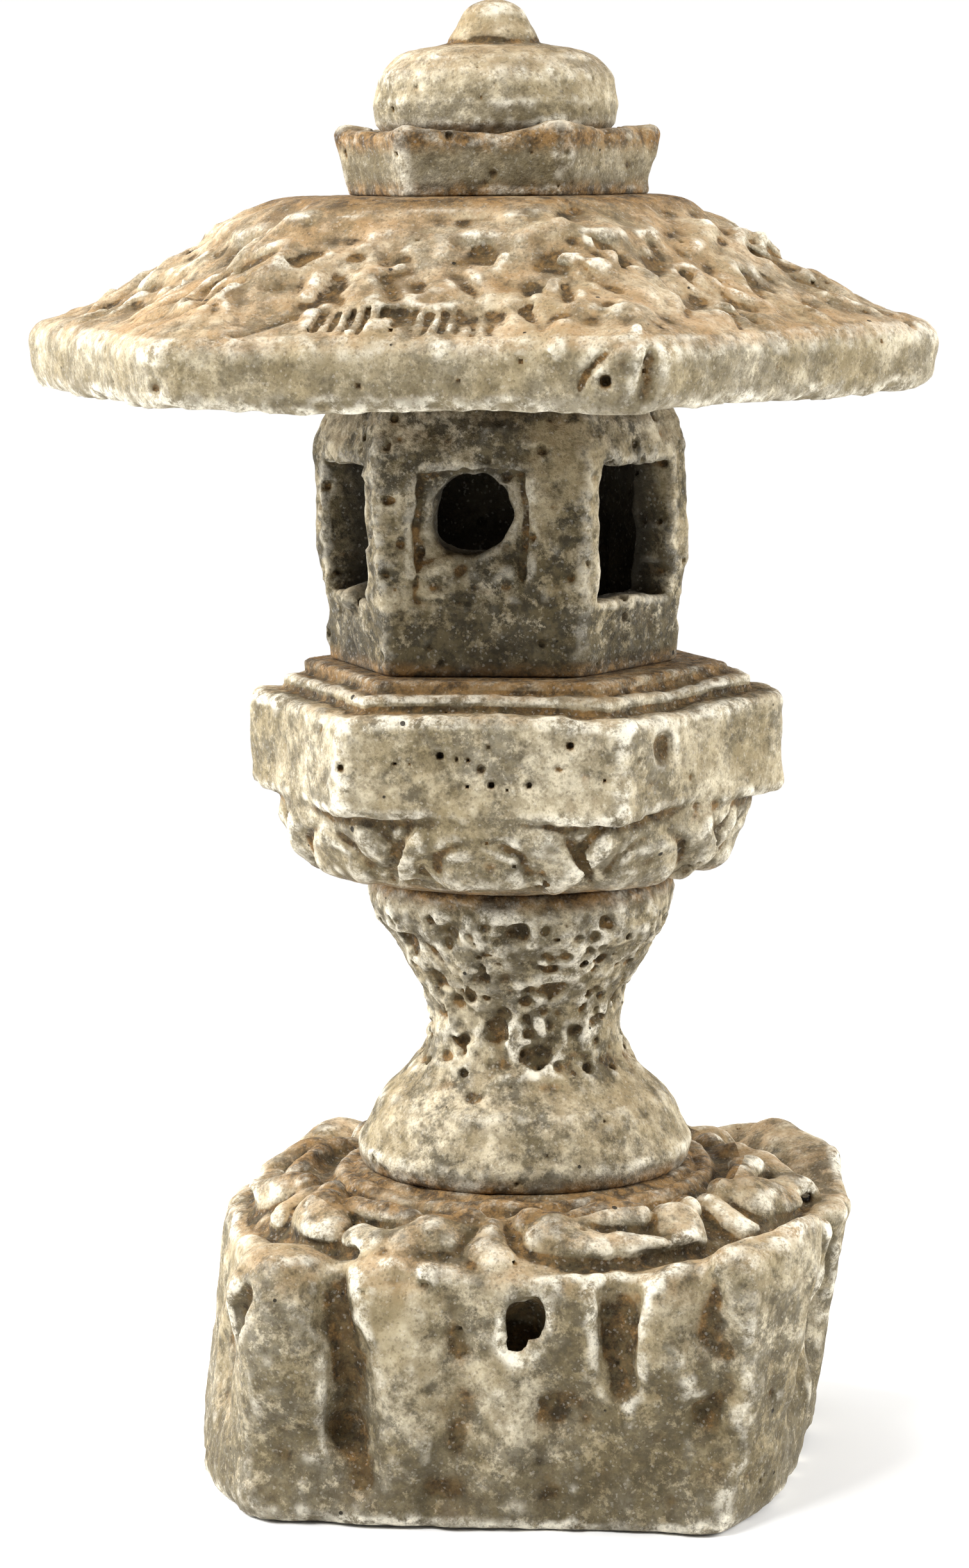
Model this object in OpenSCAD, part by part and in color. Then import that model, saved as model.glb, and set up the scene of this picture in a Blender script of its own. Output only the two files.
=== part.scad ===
// Stone lantern: seven cast stones stacked on one upright axis.
// Origin: underside of the base, on the axis of the post. +Z up, front face towards -Y.

/* [Base] */
// Width of the rough base rock, left to right
base_w = 292; // [220:1:380]
// Depth of the rough base rock, front to back
base_d = 264; // [220:1:360]
// Height of the seat that the post stands on
base_h = 130; // [100:1:170]
// Height of the rock's top edge below the seat
base_seat_rise = 19; // [12:1:30]
// Cut taken off each corner of the rock
base_corner = 42; // [20:1:60]
// How far the right side leans in at the floor
base_lean = 16; // [0:1:30]
// Radius where the lotus ring meets the rock
lotus_r = 121; // [105:1:130]
// Radius of the flat ring on top of the lotus
ring_r = 82; // [78:1:90]
// Number of petals round the lotus rings
petals = 12; // [8:1:18]

/* [Post] */
// Height of the post between its two seats
post_h = 128; // [100:1:160]
// Radius of the post at its foot
post_foot_r = 75; // [60:1:78]
// Radius of the post at its waist
post_waist_r = 44.5; // [36:0.5:54]
// Radius of the collar at the post's top
post_collar_r = 66.5; // [56:0.5:74]
// Radius of the tenon under the post
foot_tenon_r = 42; // [25:1:50]
// Length of the tenon under the post
foot_tenon_h = 28; // [15:1:50]
// Radius of the tenon on top of the post
head_tenon_r = 27; // [18:1:34]
// Length of the tenon on top of the post
head_tenon_h = 25; // [15:1:35]

/* [Platform] */
// Corner radius of the six-sided platform
platform_r = 118.5; // [112:0.5:130]
// Height of the platform from the post to the firebox
platform_h = 93; // [80:1:120]
// Height of the lotus bowl under the platform's block
bowl_h = 38; // [30:1:45]
// Height of the plain six-sided block
block_h = 42; // [30:1:46]
// Corner radius of the lower step
lower_step_r = 103; // [97:1:108]
// Corner radius of the upper step
upper_step_r = 93.5; // [88:0.5:96]

/* [Firebox] */
// Corner radius of the firebox at its middle
firebox_r = 82; // [78:0.5:86]
// Height of the firebox
firebox_h = 121; // [105:1:160]
// Width of the front face
front_w = 88; // [76:1:96]
// Thickness of the firebox walls
wall_t = 20; // [14:0.5:24]
// Thickness of the firebox floor
floor_t = 20; // [18:1:26]
// Width of a window
window_w = 50; // [34:1:54]
// Height of a window
window_h = 57; // [40:1:62]
// Height of the sill above the firebox's foot
sill_h = 31; // [26:1:36]
// Radius of the round hole in the front panel
hole_r = 18; // [12:0.5:20]
// Depth of the sunk panels
panel_d = 5; // [2:0.5:7]

/* [Roof] */
// Corner radius of the roof at the top of the eave
roof_r = 199.5; // [160:0.5:230]
// Height of the roof from the firebox to the dew basin
roof_h = 79; // [66:1:95]
// Height of the upright face of the eave
eave_h = 24; // [16:1:30]
// Corner radius of the flat top under the dew basin
roof_top_r = 92; // [90:1:104]

/* [Dew basin] */
// Width of the square dew basin
basin_w = 124; // [116:1:140]
// Height of the dew basin's seat
basin_h = 25; // [18:1:36]
// How far the corners turn up
basin_corner_rise = 8; // [3:1:12]

/* [Finial] */
// Radius of the finial's dome
dome_r = 52; // [40:0.5:54]
// Height of the dome
dome_h = 38; // [28:1:48]
// Radius of the knob at its foot
knob_r = 18; // [14:0.5:24]
// Height of the knob
knob_h = 19; // [12:1:28]

/* [Dowels and fits] */
// Radius of the steel dowels
dowel_r = 3; // [2:0.5:3.5]
// Depth of a dowel in the stone that it is cast into
dowel_set = 20; // [14:1:24]
// Length of a dowel above its stone
dowel_proud = 14; // [10:1:16]
// Radius of the finial's steel rod
rod_r = 5; // [4:0.5:7]
// Depth of the rod in the finial
rod_set = 30; // [20:1:34]
// Depth that the rod reaches into the roof
rod_reach = 30; // [20:1:40]
// Play between a tenon and its socket, on the radius
tenon_play = 1.5; // [0.5:0.1:3]
// Play between a dowel and its hole, on the radius
dowel_play = 0.6; // [0.3:0.1:1]
// Room under the end of a tenon or a dowel
end_room = 2; // [1:0.5:4]

/* [Setting] */
// Shift of the platform from the post's axis, left is negative
platform_shift = -3; // [-6:0.5:6]
// Shift of the firebox from the post's axis
firebox_shift = -8; // [-10:0.5:10]
// Shift of the roof from the post's axis
roof_shift = -16; // [-18:0.5:18]
// Shift of the dew basin from the post's axis
basin_shift = -8; // [-10:0.5:10]
// Shift of the finial and its rod from the post's axis
finial_shift = -9; // [-11:0.5:11]

/* [Hidden] */
$fn = 64;
eps = 0.5;
stone = [0.80, 0.76, 0.66];
weathered = [0.70, 0.66, 0.54];
stained = [0.82, 0.70, 0.54];
steel = [0.72, 0.73, 0.75];

// Heights of the seats, from the floor up
post_z = base_h;
platform_z = post_z + post_h;
firebox_z = platform_z + platform_h;
roof_z = firebox_z + firebox_h;
basin_z = roof_z + roof_h;
finial_z = basin_z + basin_h;

// Firebox: the side faces lean away from the front by side_turn
hex_k = cos(30);
box_apothem = firebox_r * hex_k;
side_run = firebox_r - front_w / 2;
side_turn = atan2(box_apothem, side_run);
side_apothem = firebox_r * sin(side_turn);
side_mid = [(firebox_r + front_w / 2) / 2, -box_apothem / 2];
foot_k = 0.935;
head_k = 0.89;
chamber_r = firebox_r - wall_t / sin(side_turn);
dowel_out = (chamber_r + firebox_r * head_k) / 2;
hole_z = sill_h + window_h * 0.66;
step_h = (platform_h - bowl_h - block_h) / 2;
rock_h = base_h - base_seat_rise;
reach = 600;

// Upright slab with the half-width and height pairs of profile, facing turn degrees from -Y
module slab(profile, turn) {
    n = len(profile);
    outline = concat(profile, [for (i = [n - 1:-1:0]) [-profile[i][0], profile[i][1]]]);
    rotate([0, 0, 90 + turn]) rotate([90, 0, 0])
        translate([0, 0, -reach / 2]) linear_extrude(reach) polygon(outline);
}

// Six-sided solid: two faces towards the front and back, four towards the sides
module six_sided(front, side, turn = 60) {
    intersection() {
        slab(front, 0);
        slab(side, turn);
        slab(side, -turn);
    }
}

// Regular six-sided solid from pairs of corner radius and height
module regular_six(corners) {
    faces = [for (c = corners) [c[0] * hex_k, c[1]]];
    six_sided(faces, faces);
}

// Upright six-sided prism of corner radius r
module six_prism(r, h) {
    cylinder(r = r, h = h, $fn = 6);
}

// Ring of rounded petals, balls of radius size sunk into the lotus round circle r
module petal_ring(count, r, z, size) {
    for (i = [0:count - 1]) rotate([0, 0, (i + 0.5) * 360 / count]) translate([r, 0, z]) sphere(r = size);
}

module base() {
    hw = base_w / 2;
    hd = base_d / 2;
    cut = base_corner;
    plan = [[-hw + cut, -hd], [hw - cut, -hd], [hw, -hd + cut], [hw, hd - cut],
            [hw - cut, hd], [-hw + cut, hd], [-hw, hd - cut], [-hw, -hd + cut]];
    across = [[-hw + 10, 0], [hw - base_lean - 8, 0], [hw - base_lean, 8], [hw, rock_h * 0.75],
              [hw - 10, rock_h], [-hw + 12, rock_h], [-hw + 2, rock_h - 14], [-hw, 10]];
    along = [[-hd + 6, 0], [hd - 6, 0], [hd, 8], [hd - 4, rock_h - 12], [hd - 14, rock_h],
             [-hd + 12, rock_h], [-hd + 3, rock_h - 10], [-hd, 8]];
    color(weathered) difference() {
        union() {
            intersection() {
                linear_extrude(base_h) polygon(plan);
                rotate([90, 0, 0]) translate([0, 0, -reach / 2]) linear_extrude(reach) polygon(across);
                rotate([90, 0, 90]) translate([0, 0, -reach / 2]) linear_extrude(reach) polygon(along);
            }
            rotate_extrude() polygon([[0, rock_h - 8], [lotus_r, rock_h - 8], [lotus_r, rock_h + 2],
                [lotus_r - 16, rock_h + 11], [ring_r + 4, base_h - 3], [ring_r, base_h], [0, base_h]]);
            petal_ring(petals, (lotus_r + ring_r) / 2 + 2, rock_h - 3, 17);
            // Lumps at the rock's back corners
            for (side = [-1, 1])
                translate([side * (hw - 48), hd - 46, rock_h - 12]) sphere(r = 30);
        }
        // Socket for the post's foot tenon
        translate([0, 0, base_h - foot_tenon_h - end_room])
            cylinder(r = foot_tenon_r + tenon_play, h = foot_tenon_h + end_room + eps);
        // Pockets and grooves in the rough front
        for (p = [[-0.52, 12, 0.25], [0, 10, 0.62], [0.33, 9, 0.3]])
            translate([p[0] * hw, -hd, rock_h * p[2]]) cylinder(r = p[1], h = rock_h * 0.3);
    }
}

module post() {
    color(stone) rotate_extrude() polygon(concat(
        [[0, -foot_tenon_h + post_z], [foot_tenon_r, -foot_tenon_h + post_z], [foot_tenon_r, post_z],
         [post_foot_r - 3, post_z], [post_foot_r, post_z + 6], [post_foot_r - 2, post_z + 14]],
        [for (a = [0:15:180])
            [a < 90 ? waist(post_foot_r - 9, a) : waist(post_collar_r - 4, a),
             post_z + post_h * (0.24 + 0.62 * a / 180)]],
        [[post_collar_r, post_z + post_h - 9], [post_collar_r, post_z + post_h - 3],
         [post_collar_r - 3, post_z + post_h], [head_tenon_r, post_z + post_h],
         [head_tenon_r, post_z + post_h + head_tenon_h], [0, post_z + post_h + head_tenon_h]]));
}

// Radius of the post's hollow curve, from end radius r through the waist at 90 degrees
function waist(r, a) = post_waist_r + (r - post_waist_r) * pow(abs(cos(a)), 1.5);

module platform() {
    block_z = platform_z + bowl_h;
    color(stone) translate([platform_shift, 0, 0]) difference() {
        union() {
            translate([0, 0, platform_z]) rotate_extrude() polygon([[0, 0], [70, 0], [87, bowl_h * 0.26],
                [95, bowl_h * 0.5], [platform_r * hex_k - 5, bowl_h * 0.86],
                [platform_r * hex_k - 5, bowl_h + eps], [0, bowl_h + eps]]);
            translate([0, 0, platform_z]) petal_ring(petals, 82, bowl_h * 0.45, 15);
            // Block with narrowed edges, then the two steps
            translate([0, 0, block_z]) six_prism(platform_r - 3, block_h);
            translate([0, 0, block_z + 4]) six_prism(platform_r, block_h - 9);
            translate([0, 0, block_z]) six_prism(lower_step_r, block_h + step_h);
            translate([0, 0, block_z]) six_prism(upper_step_r, block_h + 2 * step_h);
        }
        // Socket for the post's head tenon
        translate([-platform_shift, 0, platform_z - eps])
            cylinder(r = head_tenon_r + tenon_play, h = head_tenon_h + end_room + eps);
        // Blind holes that hold the dowels
        translate([firebox_shift - platform_shift, 0, firebox_z - dowel_set])
            dowel_pair(dowel_r, dowel_set + eps);
    }
}

// Two upright dowels, or their holes, under the firebox's side corners
module dowel_pair(r, h) {
    for (side = [-1, 1]) translate([side * dowel_out, 0, 0]) cylinder(r = r, h = h);
}

module platform_dowels() {
    color(steel) translate([firebox_shift, 0, firebox_z - dowel_set])
        dowel_pair(dowel_r, dowel_set + dowel_proud);
}

module firebox() {
    shape = [[foot_k, 0], [0.985, firebox_h * 0.3], [1, firebox_h * 0.42], [1, firebox_h * 0.73],
             [0.965, firebox_h * 0.87], [head_k, firebox_h]];
    front = [for (s = shape) [s[0] * box_apothem, s[1]]];
    side = [for (s = shape) [s[0] * side_apothem, s[1]]];
    color(weathered) translate([firebox_shift, 0, firebox_z]) difference() {
        six_sided(front, side, side_turn);
        // Chamber for the light, open at the top
        translate([0, 0, floor_t]) six_sided(
            [[box_apothem - wall_t, 0], [box_apothem - wall_t, firebox_h]],
            [[side_apothem - wall_t, 0], [side_apothem - wall_t, firebox_h]], side_turn);
        // Open windows beside the front face
        for (side = [-1, 1]) translate([side * side_mid[0], side_mid[1], sill_h])
            rotate([0, 0, side * side_turn]) translate([-window_w / 2, -wall_t, 0])
                cube([window_w, 2.5 * wall_t, window_h]);
        // Sunk front panel with its round hole
        translate([-window_w / 2, -box_apothem - wall_t, sill_h]) cube([window_w, wall_t + panel_d, window_h]);
        translate([0, 0, hole_z]) rotate([90, 0, 0]) cylinder(r = hole_r, h = firebox_r);
        // Sunk blind panels at the back
        for (turn = [180 - side_turn, 180, 180 + side_turn]) rotate([0, 0, turn])
            translate([-window_w / 2, -(turn == 180 ? box_apothem : side_apothem) - wall_t, sill_h])
                cube([window_w, wall_t + panel_d, window_h]);
        // Holes over the platform's dowels, and the ones that hold the firebox's own
        translate([0, 0, -eps]) dowel_pair(dowel_r + dowel_play, dowel_proud + end_room + eps);
        translate([0, 0, firebox_h - dowel_set]) dowel_pair(dowel_r, dowel_set + eps);
    }
}

module firebox_dowels() {
    color(steel) translate([firebox_shift, 0, roof_z - dowel_set])
        dowel_pair(dowel_r, dowel_set + dowel_proud);
}

module roof() {
    // The top sweeps in from the eave to the flat under the dew basin
    slope_r = roof_r - 7 - roof_top_r;
    slope_h = roof_h - eave_h - 3;
    sweep = [for (t = [0:0.125:1])
        [roof_top_r + slope_r * (1 - t), eave_h + 3 + slope_h * (t + 0.10 * sin(360 * (t + 0.5)))]];
    color(stained) difference() {
        translate([roof_shift, 0, roof_z])
            regular_six(concat([[roof_r - 5, 0], [roof_r, eave_h]], sweep));
        // Holes over the firebox's dowels
        translate([firebox_shift, 0, roof_z - eps])
            dowel_pair(dowel_r + dowel_play, dowel_proud + end_room + eps);
        // Hole for the finial's rod
        translate([finial_shift, 0, basin_z - rod_reach - end_room])
            cylinder(r = rod_r + dowel_play, h = rod_reach + end_room + eps);
    }
}

module dew_basin() {
    hw = basin_w / 2;
    rim = [for (t = [-1:0.25:1]) [-hw * t, basin_h - 1 + (basin_corner_rise + 1) * t * t]];
    sag = concat([[-hw + 3, 0], [hw - 3, 0]], rim);
    color(stone) difference() {
        translate([basin_shift, 0, basin_z]) intersection() {
            rotate([90, 0, 0]) translate([0, 0, -hw]) linear_extrude(basin_w) polygon(sag);
            rotate([90, 0, 90]) translate([0, 0, -hw]) linear_extrude(basin_w) polygon(sag);
        }
        // Round seat for the finial
        translate([finial_shift, 0, finial_z - 1]) cylinder(r = dome_r + tenon_play, h = reach / 10);
        // Hole that the finial's rod passes through
        translate([finial_shift, 0, basin_z - eps]) cylinder(r = rod_r + dowel_play, h = basin_h + 2 * eps);
    }
}

module finial() {
    color(stone) translate([finial_shift, 0, finial_z - 1]) rotate_extrude() polygon([[rod_r, 0],
        [dome_r - 4, 0], [dome_r, 6], [dome_r, dome_h * 0.42], [dome_r - 3, dome_h * 0.72],
        [dome_r - 8, dome_h * 0.9], [dome_r - 15, dome_h * 0.97], [knob_r + 2, dome_h + 1],
        [knob_r, dome_h + 3], [knob_r * 0.8, dome_h + knob_h * 0.5], [knob_r * 0.66, dome_h + knob_h - 3],
        [knob_r * 0.45, dome_h + knob_h + 1], [0, dome_h + knob_h + 1], [0, rod_set], [rod_r, rod_set]]);
}

module finial_rod() {
    color(steel) translate([finial_shift, 0, basin_z - rod_reach])
        cylinder(r = rod_r, h = rod_reach + basin_h - 1 + rod_set);
}

base();
post();
platform();
platform_dowels();
firebox();
firebox_dowels();
roof();
dew_basin();
finial();
finial_rod();
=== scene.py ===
import itertools
import math

import bpy
import numpy as np
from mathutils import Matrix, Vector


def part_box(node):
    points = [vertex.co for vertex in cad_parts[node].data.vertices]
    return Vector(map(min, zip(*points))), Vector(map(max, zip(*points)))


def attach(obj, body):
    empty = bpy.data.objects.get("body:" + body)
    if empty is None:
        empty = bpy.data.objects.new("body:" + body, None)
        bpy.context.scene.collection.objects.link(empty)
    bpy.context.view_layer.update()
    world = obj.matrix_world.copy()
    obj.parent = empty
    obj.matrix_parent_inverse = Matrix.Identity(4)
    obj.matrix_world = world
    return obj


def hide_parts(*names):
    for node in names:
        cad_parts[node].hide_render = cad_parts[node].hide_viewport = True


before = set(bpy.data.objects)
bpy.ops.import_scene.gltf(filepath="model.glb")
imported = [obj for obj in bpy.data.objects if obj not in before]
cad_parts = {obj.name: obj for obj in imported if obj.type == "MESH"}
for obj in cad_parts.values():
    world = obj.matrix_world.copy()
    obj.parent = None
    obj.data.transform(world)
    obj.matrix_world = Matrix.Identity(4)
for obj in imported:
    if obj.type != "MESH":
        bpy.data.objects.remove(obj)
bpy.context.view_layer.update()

import openvdb
from mathutils import Matrix, Vector


# ---- Base ------------------------------------------------
# A rough-hewn block of rock, 130 mm high at its seat, with a round lotus and a flat ring on top, cast in
# one piece. It lies loose on the ground, and a round socket in the ring takes the post's foot tenon.
# The block is carved as a signed distance in millimetres on a grid, then skinned.

MM = 0.001
FAR = 99.0
into_scene = bpy.context.scene.collection.objects.link


def unit(value):
    """A value held between 0 and 1."""
    return np.clip(value, 0, 1)


class Stone:
    """A block to carve: distance d to the stone's skin on a regular grid, negative inside, in mm."""

    def __init__(self, low, high, step, shift=0.0, turn=0.0):
        self.low = np.array(low, np.float32)
        self.shift, self.turn = shift, math.radians(turn)
        self.step = step
        counts = np.ceil((np.array(high) - np.array(low)) / step).astype(int) + 1
        self.axes = [(self.low[i] + step * np.arange(counts[i])).astype(np.float32) for i in range(3)]
        self.x, self.y, self.z = np.meshgrid(*self.axes, indexing="ij", sparse=True)
        self.d = np.full(tuple(counts), FAR)
        self.own_x, self.own_y = self.own(self.x, self.y)

    @property
    def d(self):
        return self.field

    @d.setter
    def d(self, value):
        self.field = value.astype(np.float32)

    def own(self, x, y):
        """Places seen from the stone's own middle, which sits shift mm to the right and turned."""
        c, s = math.cos(self.turn), math.sin(self.turn)
        return (x - self.shift) * c + y * s, y * c - (x - self.shift) * s

    def window(self, low, high):
        """The part of the grid between two corners, and its coordinates."""
        cut = []
        for axis, a, b in zip(self.axes, low, high):
            cut.append(slice(max(int(np.searchsorted(axis, a)) - 1, 0), int(np.searchsorted(axis, b)) + 1))
        place = np.meshgrid(*[axis[s] for axis, s in zip(self.axes, cut)], indexing="ij", sparse=True)
        return tuple(cut), place

    def stroke(self, spine, melt, cut=False):
        """Adds a rounded stroke through (x, y, z, radius) stations, its edges rounded by melt."""
        spine = np.array(spine, float)
        c, s = math.cos(self.turn), math.sin(self.turn)
        x, y = spine[:, 0].copy(), spine[:, 1].copy()
        spine[:, 0], spine[:, 1] = x * c - y * s + self.shift, x * s + y * c
        room = spine[:, 3].max() + 2.5 * melt + 3
        where, (x, y, z) = self.window(spine[:, :3].min(0) - room, spine[:, :3].max(0) + room)
        reach = np.full(self.d[where].shape, FAR, np.float32)
        if len(spine) == 1:
            spine = np.vstack([spine, spine + [0.01, 0, 0, 0]])
        for a, b in zip(spine[:-1], spine[1:]):
            run = b - a
            share = ((x - a[0]) * run[0] + (y - a[1]) * run[1] + (z - a[2]) * run[2]) / (run[:3] @ run[:3])
            share = unit(share)
            gap = np.sqrt((x - a[0] - share * run[0]) ** 2 + (y - a[1] - share * run[1]) ** 2
                          + (z - a[2] - share * run[2]) ** 2)
            reach = np.minimum(reach, gap - a[3] - share * run[3])
        self.d[where] = cut_out(self.d[where], reach, melt) if cut else melt_in(self.d[where], reach, melt)

    def cut(self, spine, melt):
        """Cuts such a stroke out."""
        self.stroke(spine, melt, cut=True)


def melt_in(a, b, r):
    """Two stones as one, with a fillet of about r in the angle between them."""
    share = unit(0.5 + 0.5 * (b - a) / r)
    return b + (a - b) * share - r * share * (1 - share)


def cut_out(a, b, r):
    """Stone a with b cut out of it, its new edges rounded by about r."""
    return -melt_in(-a, b, r)


def both(a, b, r):
    """What two shapes share, with the edge between them rounded by about r."""
    return -melt_in(-a, -b, r)


def noise(x, y, z, size, seed):
    """A smooth random field from -1 to 1 with features of about size."""
    table = np.random.default_rng(seed).uniform(-1, 1, 4096).astype(np.float32)
    cells, shares = [], []
    for c in (x, y, z):
        c = c / size + 1000
        cell = np.floor(c).astype(np.int64)
        share = c - cell
        cells.append(cell)
        shares.append(share * share * (3 - 2 * share))
    total = 0
    for corner in itertools.product((0, 1), repeat=3):
        weight, key = 1, 0
        for cell, share, side, prime in zip(cells, shares, corner, (73856093, 19349663, 83492791)):
            weight = weight * (share if side else 1 - share)
            key = key ^ ((cell + side) * prime)
        total = total + weight * table[key & 4095]
    return total


def roughen(stone, layers, where=None):
    """Wears the skin with layers of (size, height, seed) in mm. where(x, y, z) is a share of the height."""
    near = np.nonzero(np.abs(stone.d) < 9)
    x, y, z = (axis[i] for axis, i in zip(stone.axes, near))
    worn = sum(height * noise(x, y, z, size, seed) for size, height, seed in layers)
    if where is not None:
        worn = worn * where(x, y, z)
    stone.d[near] += worn


def pit(stone, count, sizes, seed, inside):
    """Opens air holes in the skin at random places for which inside(x, y, z) holds."""
    rng = np.random.default_rng(seed)
    near = np.nonzero(np.abs(stone.d) < stone.step)
    x, y, z = (axis[i] for axis, i in zip(stone.axes, near))
    fit = np.nonzero(inside(x, y, z))[0]
    for k in rng.choice(fit, count):
        r = rng.uniform(*sizes) * rng.uniform(0.6, 1)
        lean = rng.normal(0, 0.5 * r, 3)
        a = np.array([*stone.own(x[k], y[k]), z[k]])
        stone.cut([(*a, r), (*(a + lean), r * 0.7)], 0.6)


def blur(field, cells):
    """Mean of field in a cube that reaches cells each way."""
    for axis in range(3):
        field = np.moveaxis(field, axis, 0)
        first, last = np.repeat(field[:1], cells + 1, 0), np.repeat(field[-1:], cells, 0)
        padded = np.concatenate([first, field, last])
        total = np.cumsum(padded, 0, dtype=np.float64)
        field = ((total[2 * cells + 1:] - total[:-2 * cells - 1]) / (2 * cells + 1)).astype(np.float32)
        field = np.moveaxis(field, 0, axis)
    return field


def sample(stone, field, points):
    """Values of a field on the stone's grid at points, in mm."""
    place = (points - stone.low) / stone.step
    cell = np.clip(np.floor(place).astype(int), 0, np.array(field.shape) - 2)
    share = unit(place - cell)
    total = 0
    for corner in itertools.product((0, 1), repeat=3):
        weight = np.prod(np.where(corner, share, 1 - share), axis=1)
        total = total + weight * field[tuple((cell + corner).T)]
    return total


def largest_shell(points, quads):
    """Drops chips that float free of the stone."""
    label = np.arange(len(points))
    edges = np.vstack([quads[:, [0, 1]], quads[:, [1, 2]], quads[:, [2, 3]], quads[:, [3, 0]]])
    while True:
        low = np.minimum(label[edges[:, 0]], label[edges[:, 1]])
        new = label.copy()
        np.minimum.at(new, edges[:, 0], low)
        np.minimum.at(new, edges[:, 1], low)
        new = new[new]
        if (new == label).all():
            break
        label = new
    keep = label == np.bincount(label).argmax()
    order = np.cumsum(keep) - 1
    return points[keep], order[quads[keep[quads[:, 0]]]]


def skin(stone, name):
    """Turns the carved grid into a closed mesh object, with how hollow and how sheltered each point lies."""
    grid = openvdb.FloatGrid()
    grid.copyFromArray(np.pad(stone.d, 1, constant_values=FAR))
    points, _, quads = grid.convertToPolygons(isovalue=0.0, adaptivity=0.0)
    points = (points - 1) * stone.step + stone.low
    points, quads = largest_shell(points, quads.astype(np.int64))
    a, b, c, d = (points[quads[:, i]] for i in range(4))
    if np.einsum("ij,ij->", np.cross(b - a, c - a) + np.cross(c - a, d - a), a) < 0:
        quads = quads[:, ::-1]
    mesh = bpy.data.meshes.new(name)
    mesh.from_pydata(points * MM, [], quads.tolist())
    mesh.polygons.foreach_set("use_smooth", np.ones(len(quads), bool))
    full = unit(0.5 - stone.d / stone.step)
    for title, reach in (("hollow", 4.5), ("shelter", 14)):
        share = sample(stone, blur(full, max(round(reach / stone.step), 1)), points) - 0.5
        values = mesh.attributes.new(title, "FLOAT", "POINT").data
        values.foreach_set("value", share.astype(np.float32))
    mesh.update()
    piece = bpy.data.objects.new(name, mesh)
    into_scene(piece)
    return piece


def around(angle, r, z=0.0):
    """A place r out from the middle, at an angle from the front that grows towards the right."""
    a = math.radians(angle)
    return r * math.sin(a), -r * math.cos(a), z


ROCK_TOP, RING_RADIUS = 111, 73
FOOT_TENON, FOOT_TENON_RADIUS = 28, 42
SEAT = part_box("post")[0].z / MM + FOOT_TENON
RING = [(0, 130), (73, 130), (75, 127.8), (79, 129), (83, 128.4), (86, 124.6), (92, 124.2),
        (105, 119.5), (118, 113), (126, 108)]
CORNERS = [(-105, -131), (99, -127), (113, -101), (128, 16), (121, 96), (92, 127), (-96, 130),
           (-128, 98), (-149, 4), (-127, -92)]
LEAN = [0.0, 0.1, 0.17, 0.13, 0.06, 0.0, 0.0, -0.08, -0.12, -0.13]
CORNER_SOFTNESS = [1, 4, 5, 10, 12, 12, 12, 14, 12, 12]

rock = Stone((-160, -143, -6), (156, 143, 144), 1.9)
EDGES = list(zip(CORNERS, CORNERS[1:] + CORNERS[:1]))
walls = None
for ((ax, ay), (bx, by)), lean, soften in zip(EDGES, LEAN, CORNER_SOFTNESS):
    run = math.hypot(bx - ax, by - ay)
    nx, ny = (by - ay) / run, (ax - bx) / run
    wall = (rock.x - ax) * nx + (rock.y - ay) * ny - lean * np.clip(rock.z, 0, 105)
    walls = wall if walls is None else both(walls, wall, soften)
r = np.hypot(rock.x, rock.y)
rise = unit((r - 127) / 26) * (5 + 7 * unit(rock.x / 130))
lumps = 7 * noise(rock.x, rock.y, 0 * rock.x, 34, 3) * unit((r - 124) / 14)
top = rock.z - (ROCK_TOP - 1 + rise + lumps)
rock.d = both(both(walls, top, 12), -rock.z, 9)

# Flutes and pockets down the front: x, z, depth and radius along each
FLUTES = [
    [(-74, 114, 8, 10), (-67, 98, 17, 14), (-58, 72, 25, 17), (-54, 48, 22, 17), (-52, 30, 10, 13)],
    [(-40, 116, 5, 9), (-30, 100, 7, 7), (-27, 90, 5, 5)],
    [(-21, 96, 6, 6), (-25, 78, 5, 5)],
    [(-14, 76, 4, 14), (-18, 48, 6, 16), (-17, 20, 5, 14)],
    [(25, 60, 2, 12), (28, 16, 4, 12)],
    [(48, 54, 2, 11), (49, 14, 4, 11)],
    [(72, 60, 2, 11), (75, 14, 4, 11)],
    [(-84, 46, 5, 18), (-88, 30, 4, 15)],
    [(84, 112, 9, 9), (91, 88, 10, 15), (98, 72, 7, 13)],
    [(93, 54, 9, 14), (99, 38, 7, 11)],
    [(40, 76, 6, 14), (33, 54, 6, 11)],
]
for flute in FLUTES:
    spine = [(x, CORNERS[0][1] + 0.02 * (x + 105) - radius + depth, z, radius)
             for x, z, depth, radius in flute]
    rock.cut(spine, 11)
for bulge in ([(-88, -110, 88, 25), (-84, -112, 60, 21)], [(-34, -110, 92, 22), (-32, -112, 40, 20)],
              [(36, -112, 96, 17), (34, -113, 80, 14)], [(78, -112, 96, 14), (76, -112, 70, 14)]):
    rock.stroke(bulge, 14)
# The pocket, the slit at the left corner and the deep end of the squared recess
rock.cut([(16, -124, 93, 9), (15, -119, 87, 10.5), (13, -118, 81, 11)], 3)
rock.cut([(-101, -128, 100, 5), (-106, -121, 86, 7), (-111, -116, 70, 6)], 3)
rock.cut([(57, -125, 112, 8.5), (56, -126, 86, 8.5), (56, -127.5, 65, 8.5)], 4)
rock.cut([(61, -128, 107, 4.5), (61.5, -125, 88, 4.5), (60, -127, 74, 4)], 2)
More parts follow.
